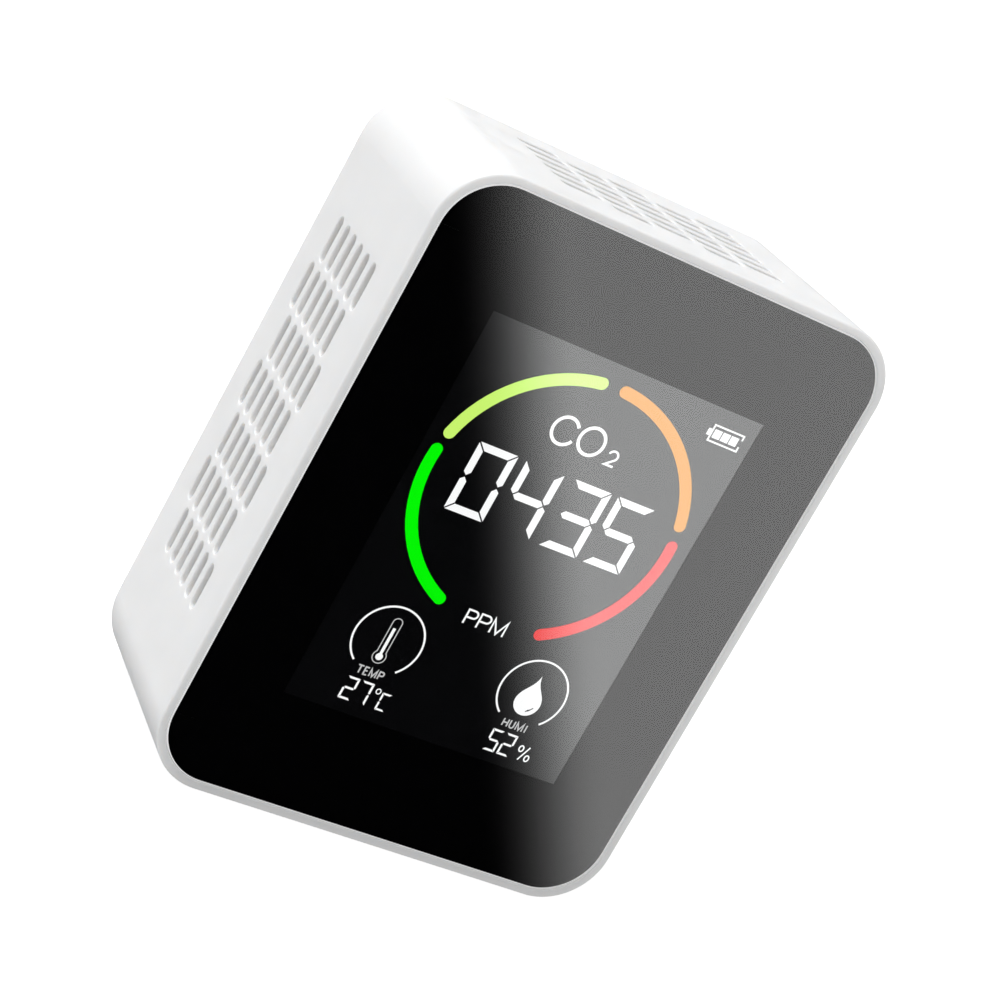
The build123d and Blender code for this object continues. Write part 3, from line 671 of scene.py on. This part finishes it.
RING_X = -0.34
RING_Z = 7.45
RING_ACROSS = 19.02
RING_UP = 18.46
RING_WIDTH = 1.72
RING_ARCS = {  # start and end angle, anticlockwise from the right, and colour
    "green": (173.9, 245.5, (0.0, 0.94, 0.0)),
    "lime": (97.6, 165.3, (0.60, 0.93, 0.16)),
    "orange": (13.8, 86.6, (0.76, 0.31, 0.015)),
    "red": (-65.0, 4.0, (0.82, 0.012, 0.012)),
}


def draw_level_ring():
    """Four coloured arcs that stand for the levels of the gas."""
    for name, (start, end, colour) in RING_ARCS.items():
        plate = Plate()
        plate.stroke(arc(RING_X, RING_Z, RING_ACROSS, RING_UP, start, end), RING_WIDTH, rounded=True)
        plate.finish(f"level_arc_{name}", lit_pixels(f"lit_{name}", colour))


GAS_NAME = Letters([("C", -6.31, 3.85), ("O", -2.09, 4.23)], bottom=15.88, height=4.37, thick=0.46)
GAS_SUBSCRIPT = Letters([("2", 3.03, 1.74)], bottom=15.78, height=2.4, thick=0.3)
GAS_DIGITS = Digits([("0", -14.28), ("4", -6.97), ("3", 0.62), ("5", 7.66)],
                    bottom=2.46, width=6.0, height=10.1, thick=1.05, gap=0.15)
GAS_UNIT = Letters([("P", -3.6, 1.84), ("P", -1.54, 1.88), ("M", 0.55, 2.32)],
                   bottom=-11.56, height=2.38, thick=0.27)


def draw_gas_reading():
    label = Plate()
    write_letters(label, GAS_NAME)
    write_letters(label, GAS_SUBSCRIPT)
    label.finish("gas_label", LIT_WHITE)
    reading = Plate()
    write_digits(reading, GAS_DIGITS)
    reading.finish("gas_reading", LIT_WHITE)
    unit = Plate()
    write_letters(unit, GAS_UNIT)
    unit.finish("gas_unit", LIT_WHITE)


DIAL_RADIUS = 5.06
DIAL_WIDTH = 0.27
DIAL_ENDS = (-50, 232)  # degrees, anticlockwise from the right


def draw_dial(name, x, z):
    plate = Plate()
    plate.stroke(arc(x, z, DIAL_RADIUS, DIAL_RADIUS, *DIAL_ENDS), DIAL_WIDTH)
    plate.finish(name, LIT_WHITE)


BULB_BELOW = 2.49  # its centre, under the dial's
BULB_RADIUS = 0.97
BORE_RADIUS = 0.68
BORE_TOP = 2.75
GLASS_LINE = 0.13
COLUMN_TOP = 1.95
COLUMN_WIDTH = 0.42
COLUMN_BULB = 0.52
TEMPERATURE_LABEL = Letters([("T", -2.1, 1.0), ("E", -0.98, 0.72), ("M", -0.1, 1.12), ("P", 1.22, 0.86)],
                            bottom=-5.65, height=1.32, thick=0.2)
TEMPERATURE_DIGITS = Digits([("2", -2.54), ("7", -0.3)],
                            bottom=-9.75, width=1.83, height=3.4, thick=0.3, gap=0.05)
CELSIUS = Digits([("C", 3.16)], bottom=-9.7, width=1.45, height=2.64, thick=0.26, gap=0.05)
DEGREE_X = 2.48
DEGREE_Z = -7.15
DEGREE_ACROSS = 0.33
DEGREE_UP = 0.37
DEGREE_LINE = 0.14


def draw_temperature(x, z):
    """Dial, thermometer, label and value, about the dial's centre."""
    draw_dial("temperature_dial", x, z)
    bulb_z = z - BULB_BELOW
    neck = math.degrees(math.acos(BORE_RADIUS / BULB_RADIUS))
    bulb = arc(x, bulb_z, BULB_RADIUS, BULB_RADIUS, 180 - neck, 360 + neck)
    dome = arc(x, z + BORE_TOP, BORE_RADIUS, BORE_RADIUS, 0, 180)
    glass = Plate()
    glass.stroke(bulb + dome, GLASS_LINE, closed=True)
    glass.finish("thermometer_glass", LIT_SOFT)
    column = Plate()
    column.stroke([(x, bulb_z), (x, z + COLUMN_TOP)], COLUMN_WIDTH)
    column.solid(arc(x, bulb_z, COLUMN_BULB, COLUMN_BULB, 0, 360)[:-1])
    column.finish("thermometer_column", LIT_WHITE)
    label = Plate()
    write_letters(label, TEMPERATURE_LABEL, x, z)
    label.finish("temperature_label", LIT_SOFT)
    value = Plate()
    write_digits(value, TEMPERATURE_DIGITS, x, z)
    write_digits(value, CELSIUS, x, z)
    degree = arc(x + DEGREE_X, z + DEGREE_Z, DEGREE_ACROSS, DEGREE_UP, 0, 360)[:-1]
    value.stroke(degree, DEGREE_LINE, closed=True)
    value.finish("temperature_value", LIT_WHITE)


def bezier(first, first_pull, second_pull, second, steps=12):
    """Points along a cubic curve, without its first one."""
    points = []
    for i in range(1, steps + 1):
        t = i / steps
        s = 1 - t
        weights = (s ** 3, 3 * s * s * t, 3 * s * t * t, t ** 3)
        corners = (first, first_pull, second_pull, second)
        points.append(tuple(sum(w * c[k] for w, c in zip(weights, corners)) for k in (0, 1)))
    return points


DROP_BELOW = 1.42  # centre of its round belly, under the dial's
DROP_RADIUS = 2.0
DROP_SHOULDER = 15  # degrees above level, where the flank leaves the belly
DROP_TIP = (0.0, 4.2)
TIP_PULL = (0.3, 2.35)
SHOULDER_PULL = 1.45
GLINT_DASHES = 4
GLINT_START = -66  # degrees
GLINT_STEP = 11
GLINT_RADIUS = 1.25
GLINT_HALF = Vector((0.16, 0.2))
GLINT_LINE = 0.13
HUMIDITY_LABEL = Letters([("H", -1.9, 0.92), ("U", -0.8, 0.86), ("M", 0.26, 1.18), ("I", 1.75, 0.2)],
                         bottom=-5.78, height=1.32, thick=0.2)
HUMIDITY_DIGITS = Digits([("5", -2.58), ("2", -0.34)],
                         bottom=-9.83, width=1.83, height=3.38, thick=0.3, gap=0.05)
PERCENT = Letters([("%", 2.36, 2.35)], bottom=-9.77, height=2.42, thick=0.2)


def drop_outline():
    """Outline of the drop about the centre of its belly: its right half, then that mirrored."""
    shoulder = math.radians(DROP_SHOULDER)
    side = Vector((math.cos(shoulder), math.sin(shoulder))) * DROP_RADIUS
    pull = side + Vector((-math.sin(shoulder), math.cos(shoulder))) * SHOULDER_PULL
    flank = [DROP_TIP] + bezier(DROP_TIP, TIP_PULL, tuple(pull), tuple(side))
    half = flank + arc(0, 0, DROP_RADIUS, DROP_RADIUS, DROP_SHOULDER, -90)[1:]
    return half + [(-px, pz) for px, pz in half[-2:0:-1]]


def draw_humidity(x, z):
    """Dial, water drop, label and value, about the dial's centre."""
    draw_dial("humidity_dial", x, z)
    belly = Vector((x, z - DROP_BELOW))
    drop = Plate()
    drop.solid([(belly.x + px, belly.y + pz) for px, pz in drop_outline()])
    drop.finish("humidity_drop", LIT_WHITE)
    glint = Plate()
    for i in range(GLINT_DASHES):
        angle = math.radians(GLINT_START + GLINT_STEP * i)
        middle = belly + Vector((math.cos(angle), math.sin(angle))) * GLINT_RADIUS
        glint.stroke([tuple(middle - GLINT_HALF), tuple(middle + GLINT_HALF)], GLINT_LINE)
    glint.finish("humidity_drop_glint", DARK_PIXELS, lift=PIXEL_DEPTH)
    label = Plate()
    write_letters(label, HUMIDITY_LABEL, x, z)
    label.finish("humidity_label", LIT_SOFT)
    value = Plate()
    write_digits(value, HUMIDITY_DIGITS, x, z)
    write_letters(value, PERCENT, x, z)
    value.finish("humidity_value", LIT_WHITE)


BATTERY_LENGTH = 5.4
BATTERY_HEIGHT = 2.3
BATTERY_LINE = 0.24
BATTERY_LIP = 0.68  # how far its right end is closed, from above and from below
TERMINAL_LENGTH = 0.65
TERMINAL_HEIGHT = 0.98
CHARGE_BARS = 3
BAR_INSET = 0.33
BAR_PITCH = 1.36
BAR_LENGTH = 1.19
BAR_HEIGHT = 1.26


def draw_battery(left, bottom):
    """Cell with its terminal to the left, three charge bars and an open right end."""
    body_left = left + TERMINAL_LENGTH
    right = left + BATTERY_LENGTH
    top = bottom + BATTERY_HEIGHT
    middle = (bottom + top) / 2
    plate = Plate()
    plate.stroke([(right, bottom + BATTERY_LIP), (right, bottom), (body_left, bottom), (body_left, top),
                  (right, top), (right, top - BATTERY_LIP)], BATTERY_LINE)
    plate.stroke([(left, middle), (body_left - BATTERY_LINE / 2, middle)], TERMINAL_HEIGHT)
    for i in range(CHARGE_BARS):
        start = body_left + BAR_INSET + BAR_PITCH * i
        plate.stroke([(start, middle), (start + BAR_LENGTH, middle)], BAR_HEIGHT)
    plate.finish("battery_symbol", LIT_WHITE)


# ---------------------------------------------------------------- studio
WORLD_LEVEL = 0.60
OVERHEAD_BAND = (0.05, 0.6)  # height in the sky where it starts to show in polished faces, and is full
KEY_DIRECTION = Vector((-0.43, 0.22, 0.87))
KEY_STRENGTH = 2.55
KEY_SPREAD = 36.0
FLOOR_REACH = 30.0
FLOOR_GAP = 0.02 * MM
FLOOR_TONE = 0.35
FLOOR_GLOW = 0.85
FLOOR_BOUNCE = 0.42  # how much the floor glows for the object standing on it
FRONT_FALL = 0.27  # how much dimmer the surroundings are in front than at the sides
CARD_LEVEL = 3.7  # brightness of the card that the front panel mirrors
CARD_DISTANCE = 1.2
CARD_WIDTH = 0.9
CARD_HEIGHT = 1.1
CARD_EDGE = (-0.020, 0.035)  # where its glow starts and is full, from the axis of the mirrored view
CARD_TILT = 0.058  # slope of that edge
CARD_FALLOFF = 2.2


def light_path(look, ray):
    return look.add("ShaderNodeLightPath").outputs[f"Is {ray} Ray"]


def make_world():
    """Even white surroundings, which polished faces see only as a dim band overhead."""
    world = bpy.data.worlds.new("studio")
    bpy.context.scene.world = world
    world.use_nodes = True
    nodes = world.node_tree.nodes
    links = world.node_tree.links
    sky = nodes["Background"]
    path = nodes.new("ShaderNodeLightPath")
    direction = nodes.new("ShaderNodeTexCoord")
    split = nodes.new("ShaderNodeSeparateXYZ")
    links.new(direction.outputs["Generated"], split.inputs["Vector"])
    around = nodes.new("ShaderNodeMapRange")
    around.inputs["From Min"].default_value = -1.0
    around.inputs["To Min"].default_value = WORLD_LEVEL * (1 - FRONT_FALL)
    around.inputs["To Max"].default_value = WORLD_LEVEL * (1 + FRONT_FALL)
    links.new(split.outputs["Y"], around.inputs["Value"])
    camera_level = nodes.new("ShaderNodeMix")
    camera_level.inputs["B"].default_value = 1.0
    links.new(around.outputs["Result"], camera_level.inputs["A"])
    links.new(path.outputs["Is Camera Ray"], camera_level.inputs["Factor"])
    overhead = nodes.new("ShaderNodeMapRange")
    overhead.interpolation_type = "SMOOTHSTEP"
    overhead.inputs["From Min"].default_value = OVERHEAD_BAND[0]
    overhead.inputs["From Max"].default_value = OVERHEAD_BAND[1]
    overhead.inputs["To Max"].default_value = WORLD_LEVEL
    links.new(split.outputs["Z"], overhead.inputs["Value"])
    level = nodes.new("ShaderNodeMix")
    links.new(path.outputs["Is Glossy Ray"], level.inputs["Factor"])
    links.new(camera_level.outputs["Result"], level.inputs["A"])
    links.new(overhead.outputs["Result"], level.inputs["B"])
    links.new(level.outputs["Result"], sky.inputs["Strength"])
    sky.inputs["Color"].default_value = (1, 1, 1, 1)


def make_floor():
    """Pale floor that glows a little, so that only a faint contact shadow shows."""
    data = bpy.data.meshes.new("floor")
    corners = [(x * FLOOR_REACH, y * FLOOR_REACH, 0) for x, y in ((-1, -1), (1, -1), (1, 1), (-1, 1))]
    data.from_pydata(corners, [], [(0, 1, 2, 3)])
    floor = bpy.data.objects.new("floor", data)
    bpy.context.scene.collection.objects.link(floor)
    look = Look("floor", (FLOOR_TONE, FLOOR_TONE, FLOOR_TONE), 0.9)
    look.set("Specular IOR Level", 0.0)
    look.set("Emission Color", (1.0, 1.0, 1.0))
    glow = look.remap(light_path(look, "Camera"), 0.0, 1.0, FLOOR_BOUNCE, FLOOR_GLOW)
    look.set("Emission Strength", glow)
    data.materials.append(look.material)
    floor.location.z = cad_box[0].z - FLOOR_GAP
    floor.visible_glossy = False


def make_key():
    lamp = bpy.data.lights.new("key", "SUN")
    lamp.energy = KEY_STRENGTH
    lamp.angle = math.radians(KEY_SPREAD)
    key = bpy.data.objects.new("key", lamp)
    bpy.context.scene.collection.objects.link(key)
    key.rotation_mode = "QUATERNION"
    key.rotation_quaternion = KEY_DIRECTION.to_track_quat("Z", "Y")


def make_card(camera):
    """Glowing sheet out of sight, placed where the flat front mirrors it, with a soft left edge."""
    mirror_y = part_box("front_lens")[0].y
    flip = Matrix.Diagonal((1, -1, 1))
    turn = camera.rotation_quaternion.to_matrix()
    right, up, back = (flip @ turn.col[i] for i in range(3))
    eye = camera.location.copy()
    eye.y = 2 * mirror_y - eye.y
    middle = eye - back * CARD_DISTANCE
    sides = (CARD_EDGE[0] - CARD_TILT * CARD_HEIGHT, CARD_WIDTH)
    ends = (-CARD_HEIGHT / 2, CARD_HEIGHT / 2)
    places = [(sides[0], ends[0]), (sides[1], ends[0]), (sides[1], ends[1]), (sides[0], ends[1])]
    corners = [middle + right * x + up * z for x, z in places]
    data = bpy.data.meshes.new("card")
    data.from_pydata(corners, [], [(0, 1, 2, 3)])
    card = bpy.data.objects.new("card", data)
    bpy.context.scene.collection.objects.link(card)
    look = Look("card", (0, 0, 0), 1.0)
    slant = right + up * CARD_TILT
    across = look.add("ShaderNodeVectorMath", {0: look.place, 1: slant}, operation="DOT_PRODUCT")
    start, full = (middle.dot(slant) + edge for edge in CARD_EDGE)
    ramp = look.add("ShaderNodeMapRange", {
        "Value": across.outputs["Value"], "From Min": start, "From Max": full,
    }, interpolation_type="SMOOTHSTEP").outputs["Result"]
    glow = look.maths("POWER", ramp, CARD_FALLOFF)
    shine = look.add("ShaderNodeEmission", {"Strength": look.maths("MULTIPLY", glow, CARD_LEVEL)})
    look.put(look.tree.nodes["Material Output"].inputs["Surface"], shine.outputs["Emission"])
    data.materials.append(look.material)
    card.visible_camera = False
    card.visible_diffuse = False
    card.visible_shadow = False
    card.visible_transmission = False


# ---------------------------------------------------------------- build
TEMPERATURE_CENTRE = (-11.85, -17.34)
HUMIDITY_CENTRE = (11.32, -17.53)
BATTERY_CORNER = (14.4, 24.25)

bpy.context.scene.view_settings.view_transform = "Standard"
camera = make_camera()
make_world()
make_floor()
make_key()
make_card(camera)
dress_frame()
draw_level_ring()
draw_gas_reading()
draw_temperature(*TEMPERATURE_CENTRE)
draw_humidity(*HUMIDITY_CENTRE)
draw_battery(*BATTERY_CORNER)
